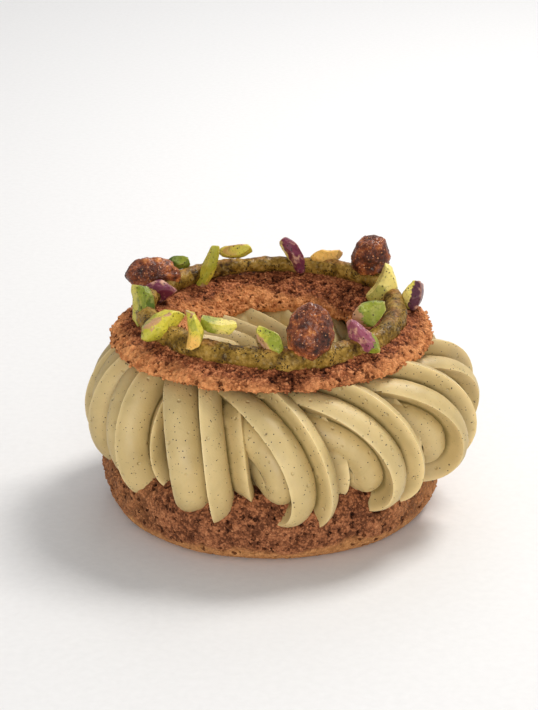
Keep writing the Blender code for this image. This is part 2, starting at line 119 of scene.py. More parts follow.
LID_X = -2.7
LID_RADIUS = 39.2
LID_UNDER = 41.0
LID_CREST = 48.0
LID_HOLE = 18.5
HOLE_SHIFT = 1.7
LID_LEAN = 0.061
LID_TILT = (0.015, -0.02)
LID_PITS = 1.3
LID_RIM = 33.0
LID_RIM_WIDE = 5.0
LID_GRAIN = 1.7
LID_UNDER_GRAIN = 1.5
LID_CRACK_X = 1.9
LID_CRACK_FROM = 30.0
LID_CRACK_DEPTH = 1.1
LID_CRACK_WIDE = 0.55

# Both rims wave in and out, from this radius on.
RIM_WAVE = 0.007
RIM_START = 30.0
# Points round each shell, and the steps along its outline.
BASE_COLUMNS = 700
LID_COLUMNS = 600
FINE_STEP = 0.36
BASE_COARSE_STEP = 1.3
LID_COARSE_STEP = 0.9
# Crumbs strewn on each crust: how many, range of their sizes, seed.
BASE_CRUMBS = (2200, (0.25, 0.8), 3)
LID_CRUMBS = (4200, (0.3, 1.05), 4)
# Large and small hollows: depth, size of their cells, share that hold one, radius.
BASE_HOLLOWS = ((1.35, 2.9, 0.34, 0.25), (1.05, 1.5, 0.40, 0.36))
LID_HOLLOWS = ((1.2, 2.1, 0.36, 0.32), (0.95, 1.2, 0.42, 0.38))
APART = Vector((40.0, 0.0, 0.0))
# Inside these radii the crusts can be golden.
BASE_INSIDE = 33.0
LID_INSIDE = 30.0

PRALINE_X = -2.3
PRALINE_RADIUS = 30.3
PRALINE_HEIGHT = 49.0
PRALINE_THICK = 2.55
PRALINE_GRID = (520, 36)

# Caramelised nuts: centre, size along each axis, turn about X, Y and Z in degrees.
NUTS = (
    ((-32.3, 16.4, 52.6), (13.8, 8.2, 8.0), (0, 6, 8)),
    ((5.9, -30.4, 53.9), (11.0, 8.8, 13.4), (-6, 5, 0)),
    ((22.0, 21.2, 55.6), (9.6, 8.8, 11.6), (4, 8, 0)),
)
NUT_LUMPS = 0.55
NUT_TAPER = 0.10
NUT_BALL = 6
NUT_KNOBS = (0.42, 0.168, 0.168)

# Pistachio pieces: kind, centre, size (long, wide, thick), long axis, roll in degrees.
PIECES = (
    ("wedge", (-34.1, -2.8, 50.8), (10.8, 6.4, 3.8), (-0.1, 0.5, 0.86), 20),
    ("half", (-31.0, 8.4, 50.4), (10.0, 5.8, 4.2), (0.98, 0.05, 0.15), 80),
    ("half", (-28.3, -17.2, 50.9), (12.2, 5.6, 4.4), (0.76, 0.56, 0.33), 75),
    ("wedge", (-20.9, -25.0, 52.5), (9.4, 6.0, 3.2), (-0.04, 0.33, 0.94), 10),
    ("sliver", (-15.1, -22.4, 52.5), (8.8, 4.6, 2.8), (0.96, -0.2, -0.1), 0),
    ("chunk", (-3.3, -29.8, 51.0), (9.2, 6.2, 3.6), (-0.40, 0.25, 0.88), 25),
    ("sliver", (-26.2, 23.3, 53.4), (5.8, 3.2, 2.6), (0.97, -0.1, 0.05), 30),
    ("sliver", (-18.6, 21.4, 52.6), (12.8, 3.4, 2.8), (0.36, -0.05, 0.93), 20),
    ("sliver", (-12.1, 30.4, 54.0), (8.8, 3.2, 2.8), (0.98, 0.1, 0.08), 60),
    ("sliver", (2.9, 28.6, 53.8), (10.4, 4.0, 3.2), (-0.52, 0.1, 0.85), 15),
    ("chunk", (11.2, 28.8, 53.0), (8.2, 5.0, 4.2), (0.98, -0.15, 0.05), 10),
    ("wedge", (24.7, 10.8, 51.5), (10.2, 7.6, 4.6), (0.45, 0.2, 0.87), 15),
    ("half", (31.5, 4.8, 51.0), (7.8, 6.6, 4.8), (0.2, 0.15, 0.95), -20),
    ("chunk", (20.1, -13.6, 52.6), (8.2, 5.6, 5.0), (0.93, -0.1, 0.2), 20),
    ("half", (18.4, -24.4, 51.0), (10.4, 5.0, 3.4), (0.75, -0.39, -0.54), 35),
)
KERNEL_BALL = 5
KERNEL_CURL = 0.22
# Planes that cut each kind of piece from a ball of radius 1: direction and distance.
CUTS = {
    "half": (((0, 0, -1), 0.18), ((0.9, 0.3, 0.1), 0.80)),
    "wedge": (((0, 0.5, -0.87), 0.22), ((0.1, 0.6, 0.80), 0.42), ((0.96, -0.2, 0), 0.82)),
    "sliver": (((0, 0.1, -1), 0.30), ((0, -0.1, 1), 0.62), ((0.97, 0.2, 0), 0.88)),
    "chunk": (((0.3, 0.2, -0.93), 0.32), ((-0.85, 0.45, 0.2), 0.58), ((0.6, -0.7, 0.4), 0.55)),
}
# Small cuts all round a piece, the range of their distances, and how crisply cuts meet.
NICKS = 12
NICK_DISTANCE = (0.74, 0.93)
CUT_CRISPNESS = 80.0

# Crusts: colours of the crumbs, ramp of the toasted part, how far it covers, how crisp they are.
BASE_LOOK = (
    ((0.135, 0.045, 0.019), (0.40, 0.147, 0.062), (0.66, 0.300, 0.14)),
    ((0.35, (0.37, 0.15, 0.047)), (0.65, (0.70, 0.34, 0.13))), 0.9, 0.38,
)
LID_LOOK = (
    ((0.105, 0.027, 0.01), (0.38, 0.115, 0.043), (0.80, 0.335, 0.145)),
    ((0.35, (0.51, 0.172, 0.055)), (0.65, (0.90, 0.395, 0.145))), 0.85, 0.44,
)
# Place of the middle colour, and the steps from it to each.
CRUST_MIDDLE = 0.27
CRUST_STEPS = (-0.12, 0.0, 0.19)
CRUST_RAISED = (-1.0, 0.5)
CRUST_BUMP = 0.34
CRUMB_CELL = 0.62
# Fine holes: size of their cells, share that hold one, where their edge starts and ends.
HOLES = (1.9, 0.55, 0.34, 0.20)
HOLE_BEND = (0.9, 2.2)
# How far the fine holes darken the crust: painted shade.
HOLE_SHADE_DARKNESS = 0.72
# Painted shade in the pits: two depths and the brightness at each; the shade is darker still in green and
# blue.
PIT_SHADE = (-1.35, -0.65, 0.14, 1.0)
PIT_SHADE_WARMTH = (1.25, 1.5)
CREAM_DEEP = (0.49, 0.36, 0.15)
CREAM_PALE = (0.59, 0.44, 0.194)
CREAM_CREST_HIGHLIGHT = (0.87, 0.68, 0.34)
CREAM_GROOVE_SHADE_AND_STREAK = (0.24, 0.17, 0.05)
# How far the cream bends where its crests get a painted highlight and its grooves painted shade.
CREST_HIGHLIGHT_BEND = (0.04, 0.22)
GROOVE_SHADE_BEND = (-0.01, -0.14)
# Specks: size of their cells, radius as a share of it, share of cells that hold one, colour.
SPECKS = (
    (1.00, 0.17, 0.50, (0.006, 0.005, 0.004)),
    (0.80, 0.12, 0.55, (0.09, 0.062, 0.024)),
    (2.20, 0.12, 0.20, (0.12, 0.078, 0.03)),
)
SPECK_EDGE = 0.75
PASTE = ((0.36, (0.045, 0.021, 0.006)), (0.48, (0.200, 0.112, 0.015)), (0.62, (0.42, 0.25, 0.052)))
PASTE_DARK_BIT = (0.016, 0.008, 0.004)
PASTE_PALE_BIT = (0.62, 0.46, 0.20)
# Dark bits in the praline: size of their cells, share of cells that hold one.
PASTE_BITS = ((0.55, 0.55), (0.34, 0.40))
PASTE_TOAST = ((0.40, (0.15, 0.05, 0.016)), (0.62, (0.48, 0.22, 0.06)))
SUGAR = ((0.34, (0.026, 0.008, 0.004)), (0.46, (0.125, 0.03, 0.012)), (0.56, (0.33, 0.088, 0.027)),
         (0.68, (0.78, 0.29, 0.08)))
# Painted glints on the sugar crystals: size of their cells, share of cells that hold one, colour.
SUGAR_GLINTS = ((0.60, 0.10, (0.60, 0.23, 0.09)), (0.38, 0.045, (0.66, 0.31, 0.14)))
GREEN_DEEP = (0.05, 0.08, 0.008)
GREEN = (0.27, 0.30, 0.028)
LEAF = (0.09, 0.14, 0.014)
LIME = (0.62, 0.53, 0.05)
YELLOW = (0.90, 0.73, 0.21)
AMBER = (0.82, 0.46, 0.10)
OCHRE = (0.50, 0.28, 0.06)
FLESH_PALE = (0.82, 0.70, 0.22)
SKIN_PALE = (0.66, 0.36, 0.24)
PURPLE = (0.17, 0.03, 0.06)
PLUM = (0.100, 0.03, 0.048)
PINK = (0.30, 0.075, 0.115)
TAN = (0.52, 0.29, 0.13)
BROWN_SKIN = (0.20, 0.075, 0.045)
BROWN_BIT = (0.05, 0.022, 0.01)
# Where skin begins and is full, and how far an edge bends to get a painted highlight.
SKIN_EDGE = (0.55, 0.65)
KERNEL_EDGE_HIGHLIGHT = (0.07, 0.20)
SKIN_PIECES = (2, 10, 15)
# How each pistachio piece looks: flesh colours from low to high, rind colour, the way the flesh
# runs in degrees (0 right, 90 up), skin colour, its side in degrees, where it begins.
KERNEL_LOOKS = (
    (LIME, LEAF, GREEN, 10, PURPLE, 0, 2.0), (GREEN, LIME, PINK, 0, PURPLE, 20, -1.0),
    (GREEN, LIME, LIME, 60, TAN, 110, 0.75), (AMBER, LIME, GREEN, 80, TAN, 120, 1.00),
    (GREEN, YELLOW, LIME, 10, BROWN_SKIN, 0, 1.4), (LIME, GREEN, GREEN, 30, TAN, 220, 0.40),
    (LEAF, GREEN, LEAF, 0, PURPLE, 0, 2.0), (LIME, LIME, GREEN, 90, TAN, 270, 0.85),
    (OCHRE, LIME, LIME, 20, OCHRE, 90, 1.00), (LIME, YELLOW, PURPLE, 200, PURPLE, 20, -0.45),
    (OCHRE, AMBER, OCHRE, 90, OCHRE, 0, 0.75), (YELLOW, YELLOW, GREEN, 120, PURPLE, 0, 2.0),
    (LIME, YELLOW, LIME, 200, PLUM, -10, 0.05), (GREEN, GREEN, LEAF, 0, TAN, 200, 0.60),
    (LEAF, GREEN, LEAF, 0, PINK, 150, -0.25),
)

# The photograph's view: sensor and lens in millimetres, place in metres, tilt in degrees.
SENSOR = 36.0
LENS = 103.94
CAMERA_PLACE = (-0.0035, -0.46894, 0.21057)
CAMERA_PITCH = 69.7
FLOOR_REACH = 4.0
FLOOR = ((0.3, (0.775, 0.765, 0.757)), (0.7, (0.805, 0.795, 0.787)))
SKY = (0.97, 0.98, 1.0)
SKY_STRENGTH = 0.46
# Lights: name, place and aim in metres, side in metres, power in watts, colour.
LIGHTS = (
    ("key", (0.32, 0.24, 0.63), (0.0, 0.0, 0.03), 0.24, 4.1, (1.0, 0.98, 0.95)),
    ("fill", (-0.02, -0.65, 0.13), (0.0, 0.0, 0.03), 0.40, 2.7, (1.0, 0.99, 0.97)),
    ("backdrop", (0.15, 0.80, 0.60), (0.15, 0.80, 0.0), 0.60, 2.2, (1.0, 1.0, 1.0)),
)


def add_object(name, data):
    """Put a mesh, a camera or a light in the scene as a named object."""
    thing = bpy.data.objects.new(name, data)
    bpy.context.scene.collection.objects.link(thing)
    return thing


def mesh_of(name, points, faces):
    """A smooth mesh from points in millimetres and faces that all have as many corners."""
    mesh = bpy.data.meshes.new(name)
    faces = np.asarray(faces, dtype=np.int32)
    mesh.vertices.add(len(points))
    mesh.vertices.foreach_set("co", (np.asarray(points) * MM).ravel())
    mesh.loops.add(faces.size)
    mesh.loops.foreach_set("vertex_index", faces.ravel())
    mesh.polygons.add(len(faces))
    mesh.polygons.foreach_set("loop_start", np.arange(0, faces.size, faces.shape[1], dtype=np.int32))
    mesh.update(calc_edges=True)
    mesh.validate()
    mesh.shade_smooth()
    return mesh


def vertex_array(mesh, what="co"):
    """A mesh's vertices in millimetres, or their normals."""
    flat = np.empty(len(mesh.vertices) * 3)
    mesh.vertices.foreach_get(what, flat)
    return flat.reshape(-1, 3) / (MM if what == "co" else 1.0)


def paint(mesh, name, values):
    """Store one number for each vertex, which a material reads by name."""
    layer = mesh.attributes.new(name, "FLOAT", "POINT")
    layer.data.foreach_set("value", np.asarray(values, dtype=np.float32))


def fade(value, start, stop):
    """0 before start, 1 after stop and smooth between."""
    t = np.clip((value - start) / (stop - start), 0.0, 1.0)
    return t * t * (3 - 2 * t)


def clamp(value, low=0.0):
    """Keep a value between low and 1."""
    return min(max(value, low), 1.0)


def round_angles(count):
    """Even steps round a full turn."""
    return 2 * math.pi * np.arange(count) / count


def edge_ends(mesh):
    """The first and the second vertex of every edge."""
    ends = np.empty(len(mesh.edges) * 2, dtype=np.int64)
    mesh.edges.foreach_get("vertices", ends)
    return ends.reshape(-1, 2).T


def grid_faces(rows, columns, closed_rows=True):
    """Four-sided faces of a grid whose columns, and maybe rows, close on themselves."""
    r, c = np.meshgrid(np.arange(rows if closed_rows else rows - 1), np.arange(columns), indexing="ij")
    r2, c2 = (r + 1) % rows, (c + 1) % columns
    return np.stack([r * columns + c, r * columns + c2, r2 * columns + c2, r2 * columns + c],
                    axis=-1).reshape(-1, 4)


def arc(centre, radii, start, stop, count):
    """Points of an elliptical arc, from one angle in degrees to another."""
    angles = np.radians(np.linspace(start, stop, count))
    return [(centre[0] + radii[0] * math.cos(a), centre[1] + radii[1] * math.sin(a)) for a in angles]


def base_profile():
    """Outline of the lower shell, from its top edge down the outside and back inside."""
    middle = (BASE_RADIUS - BASE_SHOULDER, BASE_BEND)
    shoulder = arc(middle, (BASE_SHOULDER, BASE_TOP - BASE_BEND), 90, 0, 16)
    belly = arc((BASE_FOOT, BASE_BEND), (BASE_RADIUS - BASE_FOOT, BASE_BEND), -12, -90, 14)
    inside = [(BASE_HOLE + 2.0, 0.0), (BASE_HOLE, 2.0)]
    lip = arc((BASE_HOLE + BASE_LIP, BASE_TOP - BASE_LIP), (BASE_LIP, BASE_LIP), 180, 90, 8)
    return shoulder + belly + inside + lip


def lid_profile():
    """Outline of the lid, from its crest down the outside and back under to the hole."""
    outside = [(30.5, LID_CREST), (34.0, 47.3), (36.8, 46.0), (38.5, 44.7),
               (LID_RADIUS, 43.2), (38.7, 41.9), (37.4, LID_UNDER)]
    under = [(29.0, LID_UNDER), (21.0, LID_UNDER + 0.2)]
    inside = [(LID_HOLE + 0.6, 41.9), (LID_HOLE, 43.0), (LID_HOLE + 1.0, 44.4), (21.8, 45.8), (26.0, 47.2)]
    return outside + under + inside


def cut_corners(outline, rounds):
    """Round a closed outline by cutting each corner."""
    points = np.array(outline)
    for _ in range(rounds):
        after = np.roll(points, -1, axis=0)
        pair = [0.75 * points + 0.25 * after, 0.25 * points + 0.75 * after]
        points = np.stack(pair, axis=1).reshape(-1, 2)
    return points


def resample(outline, spacing):
    """Points along a closed outline, set apart as spacing says for each place."""
    closed = np.vstack([outline, outline[:1]])
    length = np.concatenate([[0.0], np.cumsum(np.linalg.norm(np.diff(closed, axis=0), axis=1))])
    fine = np.linspace(0.0, length[-1], 4000)
    r, z = (np.interp(fine, length, closed[:, i]) for i in (0, 1))
    density = 1.0 / spacing(r, z)
    count = np.concatenate([[0.0], np.cumsum(np.diff(fine) * (density[1:] + density[:-1]) / 2)])
    steps = np.linspace(0.0, count[-1], int(count[-1]) + 1)[:-1]
    place = np.interp(steps, count, fine)
    return np.stack([np.interp(place, fine, r), np.interp(place, fine, z)], axis=1)


def rim_wave(points, rim, seed):
    """Push a ring's rim in and out by a few slow waves, fading towards its middle."""
    x, y, z = points.T
    azimuth = np.arctan2(x, -y)
    outward = np.clip((np.hypot(x, y) - RIM_START) / (rim - RIM_START), 0.0, 1.0)
    wave = np.sin(3 * azimuth + seed) + 0.8 * np.sin(5 * azimuth + 2 * seed) + 0.6 * np.sin(11 * azimuth)
    scale = 1.0 + RIM_WAVE * wave * outward
    return x * scale, y * scale, z


def shape_lid(points):
    """Shift the lid's hole, raise its crest at the back and lean it a little."""
    x, y, z = rim_wave(points, LID_RADIUS, 0.7)
    radius = np.hypot(x, y)
    shift = HOLE_SHIFT * (LID_RADIUS - radius) / (LID_RADIUS - LID_HOLE)
    height = (z - LID_UNDER) / (LID_CREST - LID_UNDER)
    z = z + height * LID_LEAN * y + LID_TILT[0] * x + LID_TILT[1] * y
    return np.stack([x + shift + LID_X, y, z], axis=1)


def shape_base(points):
    """Make the lower shell's rim uneven and slide it to its place."""
    x, y, z = rim_wave(points, BASE_RADIUS, 2.1)
    return np.stack([x + BASE_X, y, z], axis=1)


def turned_ring(outline, columns, shape):
    """A turned ring as a grid of points, with the outward normal at each."""
    azimuth = round_angles(columns)
    r, z = outline[:, :1], outline[:, 1:]
    points = np.stack([r * np.cos(azimuth), r * np.sin(azimuth), z + 0 * azimuth], axis=-1)
    points = shape(points.reshape(-1, 3)).reshape(points.shape)
    along = np.roll(points, -1, axis=0) - np.roll(points, 1, axis=0)
    across = np.roll(points, -1, axis=1) - np.roll(points, 1, axis=1)
    normals = np.cross(across, along)
    normals /= np.maximum(np.linalg.norm(normals, axis=-1), 1e-9)[..., None]
    outward = points[0] - np.array([points[..., 0].mean(), points[..., 1].mean(), -1000.0])
    if (normals[0] * outward).sum() < 0:
        normals = -normals
    return points.reshape(-1, 3), normals.reshape(-1, 3)


def layered_noise(place, falloff, layers):
    """Noise with finer and fainter layers of itself on top."""
    return noise.fractal(place, falloff, 2.0, layers, noise_basis="PERLIN_ORIGINAL")


def pit_depth(point, seed):
    """How deep the cracked crust lies below its smooth outline, 0 to 1."""
    place = point + Vector((seed, 2.0 * seed, 3.0 * seed))
    coarse = layered_noise(place * 0.16, 1.0, 2)
    fine = layered_noise(place * 0.42, 1.0, 2)
    return clamp(0.5 - 0.6 * coarse - 0.8 * fine)


def hollow(point, size, share, radius):
    """A scatter of round hollows: 1 at the middle of one, 0 outside."""
    near, centres = noise.voronoi(point / size)
    value = noise.cell(centres[0] * 7.3 + Vector((11.1, 3.7, 5.9)))
    if value > share:
        return 0.0
    reach = radius * (0.55 + 0.45 * value / share)
    return max(0.0, 1.0 - (near[0] / reach) ** 2)


def hollows(point, rows):
    """How deep a crust's large and small hollows are here."""
    (large_depth, *large), (small_depth, *small) = rows
    return large_depth * hollow(point, *large), small_depth * hollow(point + APART, *small)


def crack(point, size):
    """A net of cracks between plates: 1 in a crack, 0 on a plate."""
    near, _ = noise.voronoi(point / size)
    return max(0.0, 1.0 - (near[1] - near[0]) / 0.16)


def grain(point, size):
    """Rounded grains packed together: 1 on a grain, 0 between."""
    near, _ = noise.voronoi(point / size)
    return max(0.0, 1.0 - near[0] * 1.25)


def blister(point):
    """The round blister on the lower crust's right: a low dome in a groove."""
    away = (point - Vector(BASE_BLISTER)).length
    dome = 0.55 * max(0.0, 1.0 - (away / 2.5) ** 2)
    return dome - 1.0 * math.exp(-((away - 2.75) / 0.42) ** 2)


def base_relief(point):
    """Height of the lower crust over its smooth outline, in millimetres."""
    side = math.hypot(point.x - BASE_X, point.y)
    if side < BASE_HIDDEN:
        return -0.15 * noise.noise(point * 0.5) - 0.1
    rough = clamp((point.z - BASE_SMOOTH) / BASE_ROUGH_RISE)
    wobble = noise.noise_vector(point * 0.8) * 0.55
    bent = Vector((point.x, point.y, point.z * BASE_STRETCH)) + wobble
    large, small = hollows(bent, BASE_HOLLOWS)
    height = -0.5 * BASE_PITS * pit_depth(point, 1.0) - large - small
    cracked = clamp(0.15 + 1.8 * noise.noise(point * 0.21))
    height -= 0.5 * cracked * crack(bent, BASE_PLATES)
    height += 0.20 * layered_noise(point * 1.2, 0.8, 3)
    height += blister(point)
    smooth = 0.10 * noise.noise(point * 0.9) + 0.05 * noise.noise(point * 2.5)
    return rough * height + (1.0 - rough) * smooth


def lid_relief(point):
    """Height of the lid's crust over its smooth outline, in millimetres."""
    tilt = LID_TILT[0] * point.x + LID_TILT[1] * point.y
    above = clamp((point.z - tilt - LID_UNDER + 0.4) / 1.5)
    track = abs(math.hypot(point.x - PRALINE_X, point.y) - PRALINE_RADIUS) / PRALINE_THICK
    free = clamp(track - 0.5, 0.15)
    radius = math.hypot(point.x - LID_X, point.y)
    rim = clamp((radius - LID_RIM) / LID_RIM_WIDE)
    bent = point + noise.noise_vector(point * 0.8) * 0.5
    large, small = hollows(bent, LID_HOLLOWS)
    height = -0.6 * LID_PITS * pit_depth(point, 5.0) - (1.0 - 0.4 * rim) * large - small
    height += (0.25 + 0.30 * rim) * grain(bent, LID_GRAIN)
    height += 0.26 * layered_noise(point * 1.3, 0.8, 3)
    if point.y < -LID_CRACK_FROM:
        aside = abs(point.x - LID_CRACK_X - 0.5 * noise.noise(point * 0.8))
        height -= LID_CRACK_DEPTH * rim * max(0.0, 1.0 - aside / LID_CRACK_WIDE)
    under = 0.25 * grain(bent, LID_UNDER_GRAIN) - 0.2
    return above * free * height + (1.0 - above) * under


def crumbs(points, normals, share, count, sizes, seed):
    """Crumbs sunk part way into a crust: their points, triangles and random tones."""
    rng = np.random.default_rng(seed)
    ball, faces = unit_ball(1)
    picks = rng.choice(len(points), size=count, p=share / share.sum())
    size = sizes[0] + (sizes[1] - sizes[0]) * rng.random(count) ** 2
    axes = np.linalg.qr(rng.normal(size=(count, 3, 3)))[0]
    stretch = rng.uniform(0.65, 1.25, (count, 1, 3))
    dents = rng.uniform(0.8, 1.15, (count, len(ball), 1))
    shape = (ball[None] * stretch * dents * size[:, None, None] / 2) @ axes
    centre = points[picks] + normals[picks] * size[:, None] * rng.uniform(-0.05, 0.3, (count, 1))
    faces = faces[None] + len(ball) * np.arange(count)[:, None, None]
    tones = np.repeat(rng.uniform(-0.3, 0.45, count), len(ball))
    return (centre[:, None] + shape).reshape(-1, 3), faces.reshape(-1, 3), tones


def along_coil(values, turn):
    """A smooth closed curve through one value for each loop, read where its outside lies."""
    count = len(LOOPS)
    waves = np.fft.rfft(values) / count
    result = waves[0].real
    for order in range(1, len(waves)):
        angle = 2 * math.pi * order * (turn - 0.25) / count
        result = result + 2 * (waves[order].real * np.cos(angle) - waves[order].imag * np.sin(angle))
    return result


def coil_azimuth(turn):
    """Azimuth of the coil at a given turn: an even advance, bent to each loop's own place."""
    step = 2 * math.pi / len(LOOPS)
    places = np.radians(AZIMUTHS)
    return step * turn + along_coil(places - step * (np.arange(len(LOOPS)) + 0.25), turn)


def uneven(turn, phase):
    """A slow wave along the coil, for a hand-piped size."""
    lap = 2 * math.pi * turn / len(LOOPS)
    return 1.0 + UNEVEN * (np.sin(4 * lap + phase) + 0.7 * np.sin(7 * lap + 2.3 * phase))


def section_offset(angle, grow=0.0):
    """Where the rope's path lies in the ring's cross-section, out and up from its centre."""
    out = (COIL_REACH + grow) * np.cos(angle)
    up = (COIL_RISE + grow) * np.sin(angle) - COIL_SAG * np.cos(angle) * (1 - np.sin(angle)) / 2
    return out, up


def on_ring(radius, azimuth, height):
    """A point of the cream ring; azimuth 0 faces the viewer and grows to the right."""
    return np.stack([COIL_X + radius * np.sin(azimuth), COIL_Y - radius * np.cos(azimuth), height], axis=-1)


def coil_point(turn):
    """The rope's path: over the top, down the outside, in underneath and up the inside."""
    angle = math.pi / 2 - 2 * math.pi * turn
    out, up = section_offset(angle)
    girth = along_coil(GIRTHS, turn)
    out = out * uneven(turn, 0.4) + ROPE_RADIUS * (1 - girth) * np.cos(angle)
    radius = RING_RADIUS + out
    yaw, slant = along_coil(np.radians(YAWS), turn), along_coil(np.radians(SLANTS), turn)
    azimuth = coil_azimuth(turn) + out * np.tan(yaw) / radius + slant * np.sin(angle)
    return on_ring(radius, azimuth, COIL_HEIGHT + up * girth + along_coil(LIFTS, turn))


def coil_centre(turn):
    """The middle of the ring's cross-section beside a point of the coil."""
    return on_ring(RING_RADIUS, coil_azimuth(turn), COIL_HEIGHT + along_coil(LIFTS, turn))


def star_section():
    """Half-round star section of the rope: teeth with crisp crests, steep on one side."""
    place = np.tile(TOOTH_POINTS, ROPE_TEETH)
    tooth = np.repeat(np.arange(ROPE_TEETH), len(TOOTH_POINTS))
    steep_side = (place / GROOVE_AT) ** GROOVE_CURVE
    round_side = ((1 - place) / (1 - GROOVE_AT)) ** TOOTH_BULGE
    fall = np.where(place < GROOVE_AT, steep_side, round_side)
    angle = 2 * math.pi * (tooth + place + TOOTH_SIDE * (1 - fall)) / ROPE_TEETH - math.pi
    radius = ROPE_RADIUS * (1 - TOOTH_DEPTH * fall)
    lean = TOOTH_LEAN * (radius - ROPE_RADIUS * (1 - TOOTH_DEPTH))
    out = np.cos(angle) * radius + lean * (0.35 + 0.65 * np.abs(np.sin(angle)))
    outline = np.stack([out, np.sin(angle) * radius], axis=1)
    front = outline[out > -ROPE_BACK]
    low, high = front[:, 1].min(), front[:, 1].max()
    return np.vstack([[-ROPE_BACK, low * BACK_SHARE], front, [-ROPE_BACK, high * BACK_SHARE]])


def rope_segment(name, start, stop, rings):
    """Loft one closed length of the rope, its ends drawn in so that lengths overlap cleanly."""
    section = star_section()
    turns = np.linspace(start, stop, rings)
    step = 1e-4
    path = coil_point(turns)
    ahead = coil_point(turns + step) - coil_point(turns - step)
    ahead /= np.linalg.norm(ahead, axis=1)[:, None]
    outward = path - coil_centre(turns)
    outward -= (outward * ahead).sum(axis=1)[:, None] * ahead
    outward /= np.linalg.norm(outward, axis=1)[:, None]
    across = np.cross(ahead, outward)
    size = uneven(turns, 1.7) * along_coil(GIRTHS, turns)
    size[[0, -1]] *= END_SIZE
    spread = size[:, None, None] * section
    points = path[:, None] + spread[..., :1] * outward[:, None] + spread[..., 1:] * across[:, None]
    count = len(section)
    faces = grid_faces(rings, count, closed_rows=False).tolist()
    faces.append(list(range(count))[::-1])
    faces.append(list(range((rings - 1) * count, rings * count)))
    mesh = bpy.data.meshes.new(name)
    mesh.from_pydata((points.reshape(-1, 3) * MM).tolist(), [], faces)
    face_outwards(mesh)
    return mesh


def edit(mesh, change):
    """Change a mesh in edit form."""
    work = bmesh.new()
    work.from_mesh(mesh)
    change(work)
    work.to_mesh(mesh)
    work.free()


def face_outwards(mesh):
    """Turn every face of a closed mesh outwards."""
    edit(mesh, lambda work: bmesh.ops.recalc_face_normals(work, faces=work.faces))


def largest_shell(mesh):
    """Drop loose scraps and the walls of sealed hollows."""
    a, b = edge_ends(mesh)
    label = np.arange(len(mesh.vertices))
    while (label[a] != label[b]).any():
        low = np.minimum(label[a], label[b])
        np.minimum.at(label, a, low)
        np.minimum.at(label, b, low)
        label = label[label]
    names, sizes = np.unique(label, return_counts=True)
    scrap = label != names[sizes.argmax()]
    edit(mesh, lambda work: bmesh.ops.delete(
        work, geom=[v for v in work.verts if scrap[v.index]], context="VERTS"))


def fuse(thing, meshes):
    """Join an object with other meshes."""
    collection = bpy.data.collections.new("lengths")
    bpy.context.scene.collection.children.link(collection)
    for mesh in meshes:
        collection.objects.link(bpy.data.objects.new(mesh.name, mesh))
    modifier = thing.modifiers.new("union", "BOOLEAN")
    modifier.operation = "UNION"
    modifier.operand_type = "COLLECTION"
    modifier.collection = collection
    modifier.solver = "MANIFOLD"
    depsgraph = bpy.context.evaluated_depsgraph_get()
    depsgraph.update()
    mesh = bpy.data.meshes.new_from_object(thing.evaluated_get(depsgraph), depsgraph=depsgraph)
    thing.modifiers.clear()
    thing.data = mesh
    for used in list(collection.objects):
        bpy.data.objects.remove(used, do_unlink=True)
    bpy.data.collections.remove(collection)


def bend_of(mesh):
    """How sharply each vertex bulges out, above 0, or sinks in, below 0."""
    points, normals = vertex_array(mesh), vertex_array(mesh, "normal")
    a, b = edge_ends(mesh)
    reach = points[b] - points[a]
    length = np.maximum(np.linalg.norm(reach, axis=1), 1e-6)
    count = np.bincount(np.concatenate([a, b]), minlength=len(points))
    bend = np.zeros(len(points))
    for here, sign in ((a, -1.0), (b, 1.0)):
        np.add.at(bend, here, sign * (reach * normals[here]).sum(axis=1) / length)
    bend /= np.maximum(count, 1)
    for _ in range(2):
        total = bend.copy()
        np.add.at(total, a, bend[b])
        np.add.at(total, b, bend[a])
        bend = total / (count + 1)
    return bend


def make_cream():
    """Coil the rope round a core and fuse the lengths."""
    outline = np.array([section_offset(math.radians(a), -CORE_INSET) for a in range(90, -270, -15)])
    outline = outline + np.array([RING_RADIUS, COIL_HEIGHT])
    azimuth = round_angles(CORE_COLUMNS)
    core = on_ring(outline[:, :1], azimuth[None, :], outline[:, 1:] + 0 * azimuth)
    mesh = mesh_of("cream core", core.reshape(-1, 3), grid_faces(len(outline), CORE_COLUMNS))
    face_outwards(mesh)
    cream = add_object("piped_cream", mesh)
    lengths = []
    for turn in range(len(LOOPS)):
        middle = turn + OUTSIDE_SHARE
        for side, start, stop, rings in (("outside", turn, middle, OUTSIDE_RINGS),
                                         ("inside", middle, turn + 1, INSIDE_RINGS)):
            lengths.append(rope_segment(f"{side} {turn}", start - OVERLAP, stop + OVERLAP, rings))
    fuse(cream, lengths)
    largest_shell(cream.data)
    mesh = cream.data
    points, normals = vertex_array(mesh), vertex_array(mesh, "normal")
    ripple = np.array([0.10 * noise.noise(Vector(p) * 0.55) + 0.05 * noise.noise(Vector(p) * 1.6)
                       for p in points])
    mesh.vertices.foreach_set("co", ((points + normals * ripple[:, None]) * MM).ravel())
    mesh.update()
    paint(mesh, "bend", bend_of(mesh))
    mesh.shade_smooth()
    mesh.set_sharp_from_angle(angle=math.radians(SHARP_EDGE))
    return cream


def praline_place(azimuth):
    """Centre and thickness of the praline rope at an azimuth: thin at the back, thick in front."""
    wobble = 0.7 * math.sin(3 * azimuth + 0.6) + 0.4 * math.sin(7 * azimuth)
    radius = PRALINE_RADIUS + wobble
    x, y = radius * math.sin(azimuth), -radius * math.cos(azimuth)
    thick = PRALINE_THICK * (1 + 0.20 * math.cos(azimuth) + 0.07 * math.sin(5 * azimuth + 1))
    height = PRALINE_HEIGHT + LID_LEAN * y + 0.25 * math.sin(6 * azimuth)
    return Vector((x + PRALINE_X, y, height)), thick


